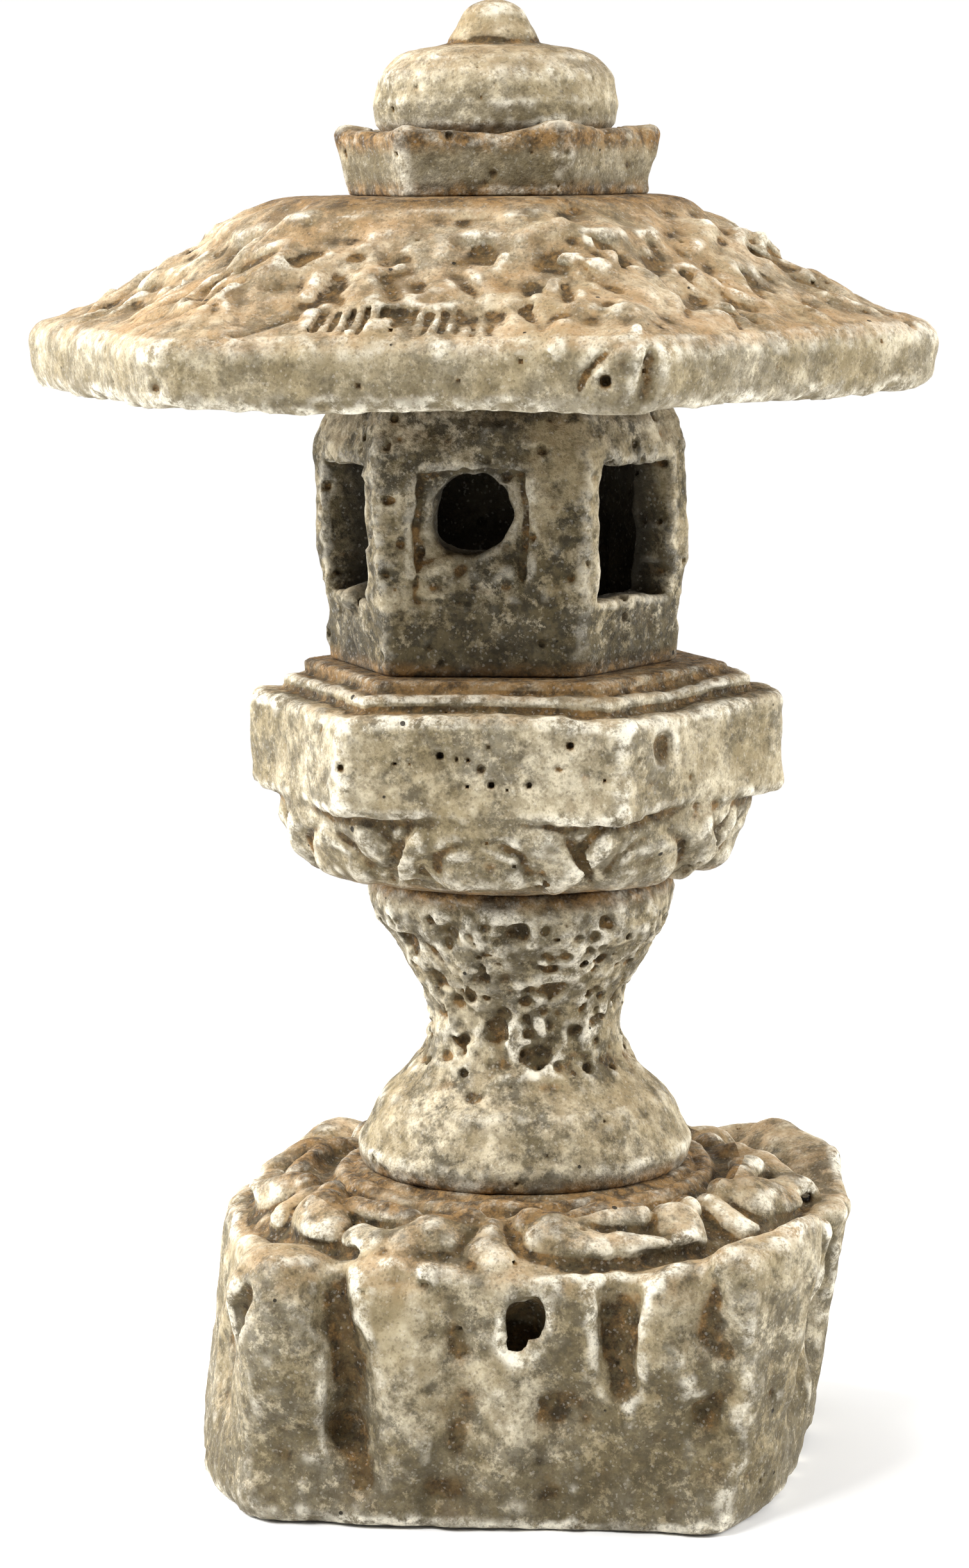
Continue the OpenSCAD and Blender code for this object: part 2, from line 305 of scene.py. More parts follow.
# Flutes down the other three sides, shallow on the right
RIGHT_DEPTH = 0.3
rng = np.random.default_rng(11)
for angle in (-122, -104, -78, -62, 68, 84, 103, 118, 140, 157, 172, -171, -156, -140):
    out = around(angle + rng.uniform(-4, 4), 1)
    far = min(((bx - ax) * ay - (by - ay) * ax) / ((bx - ax) * out[1] - (by - ay) * out[0])
              for (ax, ay), (bx, by) in EDGES
              if ((bx - ax) * out[1] - (by - ay) * out[0]) * ((bx - ax) * ay - (by - ay) * ax) > 0)
    radius, depth = rng.uniform(12, 20), rng.uniform(7, 11) * (RIGHT_DEPTH if 60 < angle < 120 else 1)
    high, low = rng.uniform(74, 98), rng.uniform(24, 46)
    reach = far + radius - depth
    ends = reach + depth
    rock.cut([(out[0] * ends, out[1] * ends, high, radius * 0.8),
              (out[0] * reach + rng.uniform(-6, 6), out[1] * reach, (high + low) / 2, radius),
              (out[0] * ends, out[1] * ends, low, radius * 0.8)], 15)

# The lotus ring: six petals, each a rib with a curled lobe either side, and a cap and a tip between them
radii, heights = zip(*RING)
ring = both(0.93 * (rock.z - np.interp(r, radii, heights)), r - 125, 5)
rock.d = melt_in(rock.d, np.maximum(ring, ROCK_TOP - 12 - rock.z), 2.5)
PETAL = [
    [(0, 98, 7, 4.5), (1, 110, 9, 5.5), (2, 117, 9, 4.5)],
    [(-7, 97, 9, 7), (-13, 104, 15, 9), (-18, 112, 15, 8)],
    [(8.5, 96, 9, 7), (14, 104, 15, 9.5), (22, 113, 14, 8)],
    [(20, 97, 7.5, 7), (29, 95, 8.5, 8), (38, 98, 8, 7)],
    [(29, 111, 9, 7), (36, 117, 12, 8)],
]
for petal in range(6):
    for lobe in PETAL:
        spine = []
        for angle, out, radius, proud in lobe:
            out += rng.uniform(-1.5, 1.5)
            turn = petal * 60 + angle + rng.uniform(-1.5, 1.5)
            level = np.interp(out, radii, heights) - radius + proud
            spine.append((*around(turn, out, level), radius))
        rock.stroke(spine, 1.0)
for out, level, radius in ((87.5, 127.2, 3.6), (123.8, 112.6, 3.2)):
    ditch = np.hypot(r - out, rock.z - level) - radius * np.clip((rock.y + 126) / 18, 0.35, 1)
    rock.d = cut_out(rock.d, ditch, 3)
roughen(rock, [(38, 2.2, 21), (13, 1.3, 22), (6, 0.7, 23)], lambda x, y, z: unit(z / 3))
pit(rock, 110, (1.2, 2.3), 31, lambda x, y, z: (z > 5) & (z < 126))
# The socket, 1.5 mm wider than the tenon and 2 mm deeper, and the flat seat round it
socket = both(r - FOOT_TENON_RADIUS - 1.5, SEAT - FOOT_TENON - 2 - rock.z, 0.5)
rock.d = np.maximum(rock.d, -socket)
rock.d = np.maximum(rock.d, (rock.z - SEAT) - 30 * (r > RING_RADIUS))


def arithmetic(tree):
    """Short ways to fill in a node tree: put sets or links a socket, maths and times add a Math node."""
    def put(socket, value):
        if isinstance(value, (int, float, tuple)):
            socket.default_value = value
        else:
            tree.links.new(value, socket)

    def maths(how, a, b=0.0, clamp=False):
        node = tree.nodes.new("ShaderNodeMath")
        node.operation, node.use_clamp = how, clamp
        put(node.inputs[0], a)
        put(node.inputs[1], b)
        return node.outputs[0]

    def times(a, b, clamp=False):
        return maths("MULTIPLY", a, b, clamp)

    return put, maths, times


def open_tree(name, start, sizes, surface, result):
    """A Geometry Nodes tree whose named inputs are a geometry, its sizes and a material."""
    tree = bpy.data.node_groups.new(name, "GeometryNodeTree")
    face = tree.interface
    face.new_socket(start, in_out="INPUT", socket_type="NodeSocketGeometry")
    for title, value in sizes:
        face.new_socket(title, in_out="INPUT", socket_type="NodeSocketFloat").default_value = value
    face.new_socket(surface, in_out="INPUT", socket_type="NodeSocketMaterial")
    face.new_socket(result, in_out="OUTPUT", socket_type="NodeSocketGeometry")
    return tree, tree.nodes.new, tree.links.new, tree.nodes.new("NodeGroupInput").outputs


def close_tree(tree, geometry, material):
    """Ends a tree: instances made real, and the material set."""
    make, link = tree.nodes.new, tree.links.new
    whole = make("GeometryNodeRealizeInstances")
    link(geometry, whole.inputs[0])
    finish = make("GeometryNodeSetMaterial")
    link(whole.outputs[0], finish.inputs["Geometry"])
    link(material, finish.inputs["Material"])
    link(finish.outputs[0], make("NodeGroupOutput").inputs[0])
    return tree


def weather():
    """Geometry Nodes that wear a stone's skin: sand grain and shallow pock marks along its normals."""
    tree, make, link, given = open_tree(
        "weather", "Stone", (("Grain size", 0.0035), ("Grain height", 0.0003), ("Pock size", 0.011),
                             ("Pock depth", 0.0007), ("Seed", 1.0)), "Finish", "Worn stone")
    _, maths, times = arithmetic(tree)
    grain = make("ShaderNodeTexNoise")
    grain.noise_dimensions = "4D"
    grain.inputs["Detail"].default_value = 3
    link(maths("DIVIDE", 1, given["Grain size"]), grain.inputs["Scale"])
    link(given["Seed"], grain.inputs["W"])
    pocks = make("ShaderNodeTexVoronoi")
    pocks.voronoi_dimensions = "4D"
    pocks.feature = "SMOOTH_F1"
    link(maths("DIVIDE", 1, given["Pock size"]), pocks.inputs["Scale"])
    link(given["Seed"], pocks.inputs["W"])
    patches = make("ShaderNodeTexNoise")
    patches.inputs["Scale"].default_value = 28
    rise = times(maths("SUBTRACT", grain.outputs[0], 0.5), given["Grain height"])
    rise = times(rise, 2)
    hole = times(maths("SUBTRACT", 0.42, pocks.outputs["Distance"]), given["Pock depth"])
    hole = times(maths("MAXIMUM", hole, 0), times(patches.outputs[0], 3))
    normal = make("GeometryNodeInputNormal")
    push = make("ShaderNodeVectorMath")
    push.operation = "SCALE"
    link(normal.outputs[0], push.inputs[0])
    link(maths("SUBTRACT", rise, hole), push.inputs["Scale"])
    move = make("GeometryNodeSetPosition")
    link(given["Stone"], move.inputs["Geometry"])
    link(push.outputs[0], move.inputs["Offset"])
    return close_tree(tree, move.outputs[0], given["Finish"])


WEATHER = weather()


def run_nodes(piece, tree, **values):
    """Runs a Geometry Nodes tree on a piece with these inputs, and keeps the result as its plain mesh."""
    run = piece.modifiers.new(tree.name, "NODES")
    run.node_group = tree
    named = {item.name.replace(" ", "_").lower(): item.identifier for item in tree.interface.items_tree}
    for name, value in values.items():
        run[named[name]] = value
    bpy.context.view_layer.update()
    done = bpy.data.meshes.new_from_object(piece.evaluated_get(bpy.context.evaluated_depsgraph_get()))
    piece.modifiers.remove(run)
    piece.data = done
    return piece


SEATS = [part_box(node)[0].z for node in ("platform", "firebox", "roof", "dew_basin", "finial")] + [SEAT * MM]
AXIS = -0.008        # where the firebox's middle stands, left of the post's
SEAT_REACH = 0.105   # the brown bands at the seats stop this far out


def cast_stone(name, stain_and_shade=0.5, wash=0.4, grime_and_shade=0.5, pale=0.5, low=-0.02, high=-0.01, inner_shade_reach=0):
    """Cream cast stone: sand grain, air holes darkened by painted shade, brown staining in its hollows,
    grey-olive grimy patches, worn edges lightened partly by a painted highlight, and painted shade in
    sheltered places and on faces that look down. The shares that follow the name weigh the brown staining
    with its painted shade, the warm wash, the grimy patches with their painted shade, and the worn edges; the
    stone darkens below high and fully at low, and the last argument is how far from the firebox's axis
    painted shade darkens the chamber inside."""
    material = bpy.data.materials.new(name)
    material.use_nodes = True
    tree = material.node_tree
    make, link = tree.nodes.new, tree.links.new
    put, maths, times = arithmetic(tree)
    shader = tree.nodes["Principled BSDF"]

    def ramp(value, start, end, low=0.0, high=1.0):
        node = make("ShaderNodeMapRange")
        node.interpolation_type = "SMOOTHSTEP"
        for socket, v in zip(node.inputs, (value, start, end, low, high)):
            put(socket, v)
        return node.outputs[0]

    def layer(share, under, over):
        node = make("ShaderNodeMix")
        node.data_type = "RGBA"
        put(node.inputs[0], share)
        put(node.inputs[6], under)
        put(node.inputs[7], over)
        return node.outputs[2]

    place = make("ShaderNodeTexCoord").outputs["Object"]
    split = make("ShaderNodeSeparateXYZ")
    link(place, split.inputs[0])
    height = split.outputs["Z"]
    middle = maths("SUBTRACT", split.outputs["X"], AXIS)
    across = maths("SQRT", maths("ADD", times(middle, middle),
                                 times(split.outputs["Y"], split.outputs["Y"])))

    def cloud(size, detail=4.0, rough=0.6, shift=0.0):
        node = make("ShaderNodeTexNoise")
        node.noise_dimensions = "4D"
        put(node.inputs["Vector"], place)
        for title, value in (("W", shift), ("Scale", 1 / size), ("Detail", detail), ("Roughness", rough)):
            put(node.inputs[title], value)
        return node.outputs[0]

    def cells(size, shift=0.0):
        node = make("ShaderNodeTexVoronoi")
        node.voronoi_dimensions = "4D"
        put(node.inputs["Vector"], place)
        put(node.inputs["W"], shift)
        put(node.inputs["Scale"], 1 / size)
        return node.outputs["Distance"], node.outputs["Color"]

    def attribute(name):
        node = make("ShaderNodeAttribute")
        node.attribute_name = name
        return node.outputs["Fac"]

    hollow, shelter = attribute("hollow"), attribute("shelter")
    facing = make("ShaderNodeSeparateXYZ")
    link(make("ShaderNodeNewGeometry").outputs["Normal"], facing.inputs[0])
    up = facing.outputs["Z"]

    # Cream body, mottled from warm to grey
    tone = layer(ramp(cloud(0.05, 6, 0.65), 0.36, 0.62), (0.66, 0.585, 0.425, 1),
                 (0.36, 0.295, 0.175, 1))
    mottle = ramp(cloud(0.010, 5, 0.76, 3), 0.38, 0.60)
    tone = layer(times(mottle, 0.66), tone, (0.17, 0.128, 0.06, 1))
    # Brown staining where water has stood, painted shade in sheltered places, and a warm wash on upper faces
    # The hollow term is brown staining; the shelter term is painted shade
    stain_and_shade_mask = maths("ADD", ramp(hollow, 0.01, 0.11), ramp(shelter, 0.02, 0.11))
    stain_and_shade_mask = times(stain_and_shade_mask, ramp(cloud(0.02, 5, 0.75, 7), 0.38, 0.56, 0.3, 1.3), True)
    flat = times(ramp(up, 0.1, 0.8), ramp(cloud(0.03, 9, 0.8, 5), 0.38, 0.6, 0.3, 1))
    brown = layer(ramp(cloud(0.008, 4, 0.75, 9), 0.4, 0.6), (0.05, 0.028, 0.009, 1), (0.24, 0.135, 0.045, 1))
    tone = layer(times(flat, wash, True), tone, (0.42, 0.235, 0.095, 1))
    tone = layer(times(stain_and_shade_mask, stain_and_shade * 1.25, True), tone, brown)
    # Grey-olive grimy patches, darker low down, with painted shade under ledges and in sheltered places
    patch = ramp(cloud(0.04, 6, 0.74, 11), 0.42, 0.58)
    patch = maths("ADD", patch, times(ramp(height, low, high, 1, 0), 1.2))
    # Faces that look down and sheltered places get painted shade in the same dark colour
    grime_and_shade_mask = maths("ADD", times(patch, 0.85), times(ramp(up, 0.2, -0.6), 0.8))
    grime_and_shade_mask = maths("ADD", grime_and_shade_mask, times(ramp(shelter, 0.0, 0.14), 0.8))
    grime_and_shade_mask = times(grime_and_shade_mask, ramp(cloud(0.008, 6, 0.8, 13), 0.38, 0.56, 0.2, 1.3))
    grime_and_shade_colour = layer(ramp(cloud(0.006, 4, 0.75, 14), 0.42, 0.6), (0.02, 0.016, 0.007, 1), (0.085, 0.066, 0.03, 1))
    tone = layer(times(maths("MINIMUM", grime_and_shade_mask, 0.92), grime_and_shade, True), tone, grime_and_shade_colour)
    # Pale worn edges and crests, part wear and part painted highlight
    worn = ramp(hollow, -0.015, -0.11)
    worn = times(worn, ramp(cloud(0.009, 5, 0.78, 17), 0.4, 0.56, 0.05, 1))
    worn = times(worn, ramp(cloud(0.04, 6, 0.75, 18), 0.4, 0.58, 0.2, 1.1))
    tone = layer(times(worn, pale, True), tone, (0.90, 0.84, 0.69, 1))
    # Brown earth lodged where one stone sits on the next
    for seat in SEATS:
        near = ramp(maths("ABSOLUTE", maths("SUBTRACT", height, seat)), 0.0085, 0.0015)
        near = times(near, ramp(cloud(0.013, 6, 0.75, 15), 0.3, 0.58, 0.25, 1.1))
        near = times(near, maths("LESS_THAN", across, SEAT_REACH))
        tone = layer(times(near, 0.9, True), tone, brown)
    # Painted shade: the chamber inside the firebox darkened near its axis
    if inner_shade_reach:
        depth = maths("SUBTRACT", maths("ABSOLUTE", across), inner_shade_reach)
        tone = layer(ramp(depth, 0.001, -0.012, 0, 0.88), tone, (0.022, 0.018, 0.011, 1))
    # Sand: dark and light grains
    grain, grain_tint = cells(0.0010, 19)
    split = make("ShaderNodeSeparateColor")
    link(grain_tint, split.inputs[0])
    tone = layer(ramp(split.outputs[0], 0.78, 0.95, 0, 0.35), tone, (0.07, 0.05, 0.028, 1))
    tone = layer(ramp(split.outputs[1], 0.94, 0.99, 0, 0.14), tone, (0.80, 0.76, 0.66, 1))
    # Air holes, a few in each patch, darkened with painted shade
    spot, spot_tint = cells(0.0085, 23)
    pick = make("ShaderNodeSeparateColor")
    link(spot_tint, pick.inputs[0])
    size = ramp(pick.outputs[0], 0.35, 1.0, 0.0, 0.16)
    hole = ramp(maths("SUBTRACT", spot, size), 0.0, -0.03)
    hole = times(hole, maths("GREATER_THAN", size, 0.01))
    tone = layer(times(hole, 0.92), tone, (0.015, 0.011, 0.006, 1))
    link(tone, shader.inputs["Base Color"])
    put(shader.inputs["Roughness"], ramp(split.outputs[2], 0.92, 0.98, 0.9, 0.4))
    shader.inputs["Specular IOR Level"].default_value = 0.3

    # Relief too fine for the mesh
    relief = times(cloud(0.0016, 4, 0.75, 29), 0.0007)
    relief = maths("ADD", relief, times(cloud(0.006, 5, 0.7, 31), 0.0012))
    relief = maths("SUBTRACT", relief, times(hole, 0.0016))
    bump = make("ShaderNodeBump")
    bump.inputs["Distance"].default_value = 1.0
    link(relief, bump.inputs["Height"])
    link(bump.outputs[0], shader.inputs["Normal"])
    return material


def finish_stone(stone, node, body, material, seed, pock=0.0007):
    """Skins, weathers and places a carved stone, in place of its plain CAD node."""
    piece = run_nodes(skin(stone, node + "_stone"), WEATHER, seed=seed, pock_depth=pock, finish=material)
    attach(piece, body)
    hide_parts(node)


finish_stone(rock, "base", "base",
             cast_stone("rock_stone", 0.9, 0.5, 0.8, 0.85, 0.0, 0.07), 1.0)


# ---- Post ------------------------------------------------
# A turned cast baluster 128 mm tall with a waist of 89 mm and a round tenon at each end. Its foot is
# smooth, the rest is heavily pitted, and its skin has broken away under the collar at the left.

POST_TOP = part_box("platform")[0].z / MM
HEAD_TENON, HEAD_TENON_RADIUS = 25, 27
POST = [(0, 71), (2, 72.3), (7, 73.6), (10, 73.4), (13, 71.6), (19, 68.6), (25, 66), (31, 62), (36, 56.5),
        (42, 51.4), (48, 47.7), (54, 45.5), (59, 44.6), (65, 44.5), (71, 44.6), (77, 46.4), (82, 49),
        (88, 52), (94, 55.6), (100, 58.8), (105, 62.3), (111, 65.2), (117, 67), (122, 67), (126, 66),
        (128, 64)]


def turned(stone, profile, bottom, top, soften):
    """A round body about the stone's own middle, from (z, radius) pairs, between two flat ends."""
    zs, radii = zip(*profile)
    side = 0.85 * (np.hypot(stone.own_x, stone.own_y) - np.interp(stone.z, zs, radii))
    return both(both(side, stone.z - top, soften), bottom - stone.z, soften)


post = Stone((-80, -80, SEAT - FOOT_TENON - 3), (80, 80, POST_TOP + HEAD_TENON + 3), 1.25)
post.d = turned(post, [(SEAT + z, r) for z, r in POST], SEAT, POST_TOP, 1)
PITS = [(-8, 64, 5, 5), (-27, 60, 3, 2.5), (-31, 64, 2.5, 2), (11, 55, 4.5, 3), (17, 54, 5, 4),
        (20, 56, 4, 3), (11, 64, 2.5, 2.5), (25, 61, 3, 2.5), (38, 64, 3, 3), (20, 94, 3, 3),
        (35, 97, 4, 3.5), (22, 109, 3.5, 2.5), (27, 110, 3, 2.5), (5, 110.6, 6.5, 4), (1, 109, 4, 3),
        (0, 102, 3, 2.5), (-6, 102, 2.5, 2.5), (-41, 83, 7, 4), (44, 82, 3.5, 3), (51, 68, 4, 3),
        (23, 83, 5.5, 3), (18, 84, 4, 3), (-23, 81, 3, 3), (-24, 108, 4, 3), (-15, 40, 5, 0.7),
        (-50, 100, 5, 3.5), (-33, 75, 4, 3), (-14, 88, 4, 3), (8, 78, 3.5, 3), (-3, 72, 3, 2.5)]
zs, radii = zip(*POST)
for angle, z, radius, depth in PITS:
    out = np.interp(z, zs, radii)
    post.cut([(*around(angle - 1.5, out + radius - depth, SEAT + z), radius),
              (*around(angle + 1.5, out + radius - depth, SEAT + z + 1), radius)], 1.2)
# Where the skin is gone: a band under the collar, ending in a ledge
angle = np.degrees(np.arctan2(post.x, -post.y))
ledge = SEAT + 83 + 26 * unit((-angle - 22) / 16) ** 0.7
gone = unit((ledge - post.z) / 2.5) * unit((post.z - SEAT - 44) / 12)
gone = gone * unit((-angle + 4) / 8) * unit((angle + 120) / 15)
roughen(post, [(30, 1.5, 41), (10, 0.9, 42), (4, 0.5, 43)],
        lambda x, y, z: unit((z - SEAT - 1) / 6) * unit((POST_TOP - 1 - z) / 5)
        * (0.6 + 1.2 * unit((z - SEAT - 36) / 12)))
post.d = post.d + 2.2 * gone
post.cut([(*around(72, 70, SEAT + 99), 7), (*around(76, 73, SEAT + 112), 7),
          (*around(70, 72, SEAT + 116), 5)], 2)
pit(post, 420, (1.0, 3.4), 44, lambda x, y, z: (z > SEAT + 44) & (z < SEAT + 116))
pit(post, 30, (0.9, 1.7), 45, lambda x, y, z: (z > SEAT + 4) & (z < SEAT + 44))
# The two tenons, each let 2 mm into the baluster
r = np.hypot(post.x, post.y)
foot = both(both(r - FOOT_TENON_RADIUS, SEAT - FOOT_TENON - post.z, 1.5), post.z - SEAT - 2, 0.1)
head = both(both(r - HEAD_TENON_RADIUS, post.z - POST_TOP - HEAD_TENON, 1.5), POST_TOP - 2 - post.z, 0.1)
post.d = np.minimum(np.minimum(post.d, foot), head)
finish_stone(post, "post", "post",
             cast_stone("post_stone", 0.8, 0.12, 0.85, 0.7), 2.0, pock=0.0011)


# ---- Platform --------------------------------------------
# A hexagonal block 42 mm high and 237 mm across its corners on a petalled bowl 38 mm high, with two
# low steps on top, a round socket below for the post and two dowel holes above.

BOX_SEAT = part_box("firebox")[0].z / MM
BOWL = [(0, 69), (2, 73), (4, 79), (6, 82.5), (10, 87.5), (14, 91.5), (18, 95), (22, 98), (27, 100.5),
        (32, 102), (40, 103)]


def six(stone, across, soften):
    """Six flat sides, the first facing the stone's own front, across mm out from its middle."""
    sides = None
    for k in range(6):
        a = math.radians(60 * k)
        side = stone.own_x * math.sin(a) - stone.own_y * math.cos(a) - across
        sides = side if sides is None else both(sides, side, soften)
    return sides


platform = Stone((-124, -112, POST_TOP - 3), (119, 112, BOX_SEAT + 3), 1.5, shift=-3)
angle = np.degrees(np.arctan2(platform.own_x, -platform.own_y))
wave = np.abs(((angle + 1) / 45 + 0.5) % 1 - 0.5) * 2
rise = platform.z - POST_TOP
swell = 3.2 * (1 - wave ** 2.5) * unit(rise / 6) * np.clip((36 - rise) / 14, 0.25, 1)
bowl = turned(platform, [(POST_TOP + z, r) for z, r in BOWL], POST_TOP, POST_TOP + 40, 1.5)
bowl = bowl - 0.8 * swell + 1.2
block = both(both(six(platform, 102.6, 5), platform.z - POST_TOP - 80, 5), POST_TOP + 37.5 - platform.z, 5)
step = both(six(platform, 89.2, 4), platform.z - POST_TOP - 87, 3)
shelf = both(six(platform, 81, 3), platform.z - BOX_SEAT, 2.2)
body = block
for layer_up in (step, shelf):
    body = melt_in(body, np.maximum(layer_up, POST_TOP + 70 - platform.z), 1)
platform.d = melt_in(body, bowl, 1)
# Petals: an oval boss each, outlined by two arcs, with slanting lobes and grooves between
zs, radii = zip(*BOWL)
for petal in range(8):
    middle = petal * 45 - 1
    boss = [(-6, 17, 13, 2.2), (6, 17, 13, 2.2)]
    lobe = [(19, 12, 8, 2.4), (24, 20, 9, 3.0), (29, 29, 9, 2.4)]
    for line in (boss, lobe, [(-a, z, r, proud) for a, z, r, proud in lobe[1:]]):
        platform.stroke([(*around(middle + a, np.interp(z, zs, radii) - r + proud, POST_TOP + z), r)
                         for a, z, r, proud in line], 2)
    arcs = [[(-12, 14, 2.4, 1.0), (-10.5, 21, 2.8, 2.2), (-6, 26.5, 2.6, 2.4), (-2, 27.5, 2, 1.2)],
            [(2, 27.5, 2, 1.2), (6, 26.5, 2.6, 2.4), (10.5, 21, 2.8, 2.4), (12.5, 14, 2.4, 1.2)],
            [(16, 6, 3, 1.5), (21, 17, 3, 2.2), (26, 28, 3.2, 2.6), (29, 35, 3, 2)],
            [(-15, 8, 3, 1.5), (-19, 18, 3, 2.0), (-24, 30, 3, 2)]]
    for line in arcs:
        platform.cut([(*around(middle + a, np.interp(z, zs, radii) + 1 + r - depth, POST_TOP + z), r)
                      for a, z, r, depth in line], 1.2)


def off_seats(low, high=FAR / MM):
    """A share of wear that is nothing at the flat seats at low and high, and full 5 mm away from them."""
    return lambda x, y, z: unit((z - low - 1) / 4) * unit((high - 1 - z) / 4)


roughen(platform, [(45, 2.2, 51), (14, 1.2, 52), (5, 0.6, 53)], off_seats(POST_TOP, BOX_SEAT))
HOLES = [(4.5, 53, 1.7), (20, 53, 1.7), (-17, 65, 1.7), (37, 69.5, 1.9), (-5, 63.5, 1.2), (-9.5, 63.7, 1.1),
         (-6, 52, 1.1), (-36, 61.5, 1.1), (51, 55, 1.2), (-59, 59, 1.8), (11, 51.5, 0.9)]
for x, z, radius in HOLES:
    platform.cut([(x, -104, POST_TOP + z, radius), (x, -99, POST_TOP + z, radius * 0.8)], 0.3)
platform.cut([(53, -101, POST_TOP + 82.5, 4), (63, -99, POST_TOP + 83, 4)], 1)
platform.cut([(78, -80, POST_TOP + 66, 9), (84, -76, POST_TOP + 60, 7)], 2)
platform.cut([(-34, -79, POST_TOP + 4, 6), (0, -88, POST_TOP + 1, 5), (22, -86, POST_TOP + 2, 5)], 1.5)
pit(platform, 150, (0.9, 2.2), 54, lambda x, y, z: (z > POST_TOP + 3) & (z < BOX_SEAT - 3))
DOWEL_RADIUS, DOWEL_HOLE = 3, 3.6
DOWEL_X = [corner.x / MM + side * DOWEL_RADIUS for side, corner in zip((1, -1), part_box("platform_dowels"))]


def bore(stone, x, radius, low, high):
    """A straight round hole between two heights, x to the right of the post's axis."""
    r = np.hypot(stone.x - x, stone.y)
    hole = np.maximum(np.maximum(r - radius, low - stone.z), stone.z - high)
    stone.d = np.maximum(stone.d, -hole)


# Where stones meet, each is cut flat; bores run 9 mm past the seat so that they open cleanly
bore(platform, 0, HEAD_TENON_RADIUS + 1.5, POST_TOP - 9, POST_TOP + HEAD_TENON + 2)
for x in DOWEL_X:
    bore(platform, x, DOWEL_HOLE, BOX_SEAT - 20, BOX_SEAT + 9)
flat = np.maximum(platform.z - BOX_SEAT, POST_TOP - platform.z)
platform.d = np.maximum(platform.d, flat)
finish_stone(platform, "platform", "platform",
             cast_stone("platform_stone", 0.85, 0.35, 0.75, 0.75), 3.0)


# ---- Firebox ---------------------------------------------
# A barrel-sided hexagonal lantern house 121 mm high, cast with 20 mm walls and open below the roof. A round
# hole in a sunk square at the front, a square window either side of it and blind panels at the back.

ROOF_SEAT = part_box("roof")[0].z / MM
BOX_MID = -8
SIDES = [(0, 71.0), (61.85, 72.3), (118.15, 72.3), (180, 71.0), (-118.15, 72.3), (-61.85, 72.3)]
BARREL = [(0, 76.4), (5, 76.8), (22, 78.9), (36, 80.6), (50, 81.6), (66, 82.1), (86, 82.2), (96, 81.0),
          (104, 78.9), (112, 75.2), (118, 71.8), (121, 70)]
WALL = 20

firebox = Stone((-94, -80, BOX_SEAT - 3), (78, 80, ROOF_SEAT + 3), 1.3, shift=BOX_MID, turn=1.2)
zs, radii = zip(*BARREL)
bulge = np.interp(firebox.z - BOX_SEAT, zs, radii) / 82
walls = None
inside = None
for angle, across in SIDES:
    out = around(angle, 1)
    reach = firebox.own_x * out[0] + firebox.own_y * out[1]
    side = reach - across * bulge
    walls = side if walls is None else both(walls, side, 3.5)
    side = reach - (across - WALL)
    inside = side if inside is None else both(inside, side, 6)
firebox.d = both(both(walls, firebox.z - ROOF_SEAT, 2), BOX_SEAT - firebox.z, 2)


def panel(stone, angle, across, middle, low, high, half, depth, soften):
    """Sinks a square depth mm into the side that faces angle."""
    out = around(angle, 1)
    reach = stone.own_x * out[0] + stone.own_y * out[1]
    along = -stone.own_x * out[1] + stone.own_y * out[0]
    square = np.maximum(np.abs(along - middle) - half, np.abs(stone.z - (low + high) / 2) - (high - low) / 2)
    stone.d = cut_out(stone.d, np.maximum(square, across - depth - reach), soften)


SILL, LINTEL = BOX_SEAT + 31, BOX_SEAT + 88
panel(firebox, 0, 71, -4.2, SILL, LINTEL, 24.4, 4.5, 1.2)
for angle in (180, 118.15, -118.15):
    panel(firebox, angle, 71.3, 0, SILL, LINTEL, 24, 4.5, 1.5)
panel(firebox, -61.85, 60, 0, SILL, LINTEL, 25, 40, 2.5)
panel(firebox, 61.85, 60, -3, SILL, LINTEL, 27, 40, 2.5)
firebox.d = np.maximum(firebox.d, -both(inside, BOX_SEAT + 20 - firebox.z, 5))
firebox.cut([(-3.8, -90, BOX_SEAT + 68.5, 18), (-3.8, -20, BOX_SEAT + 68.5, 17.2)], 2)
# The ragged seam in the front, pits, and the worn cloud in the panel
firebox.cut([(19, -73.5, BOX_SEAT + 16, 3), (19.5, -73, BOX_SEAT + 28, 3.2),
             (18.6, -72.5, BOX_SEAT + 42, 2.6), (19.6, -72, BOX_SEAT + 60, 2.4),
             (19, -72.5, BOX_SEAT + 77, 1.6)], 1.2)
for x, z, radius in [(17.4, 83, 3.4), (-13.3, 29.6, 2.4), (15.6, 26, 2), (-47, 67.5, 2.2), (-34, 56, 1.8),
                     (-30, 98, 1.6), (24, 38, 2), (8, 20, 1.6), (-25, 14, 2), (30, 72, 1.6)]:
    firebox.cut([(x, -71.5, BOX_SEAT + z, radius), (x, -69.5, BOX_SEAT + z, radius * 0.7)], 0.5)
CLOUD = [[(-26, 36, 4), (-23, 43, 5), (-17, 45, 5), (-13, 40, 4)], [(-17, 47, 3.5), (-15, 49, 3.5)],
         [(-10, 38, 4), (-4, 43, 5), (2, 40, 4)], [(7, 42, 4), (11, 45, 4), (14, 39, 4.5), (11, 34, 4)],
         [(-24, 34, 3), (-10, 35, 3), (2, 34, 3), (14, 34, 3)]]
for line in CLOUD:
    firebox.stroke([(x, -66.5 + radius - 2.6, BOX_SEAT + z, radius) for x, z, radius in line], 1.5)
roughen(firebox, [(34, 1.6, 61), (12, 1.4, 62), (5, 0.9, 63)], off_seats(BOX_SEAT, ROOF_SEAT))
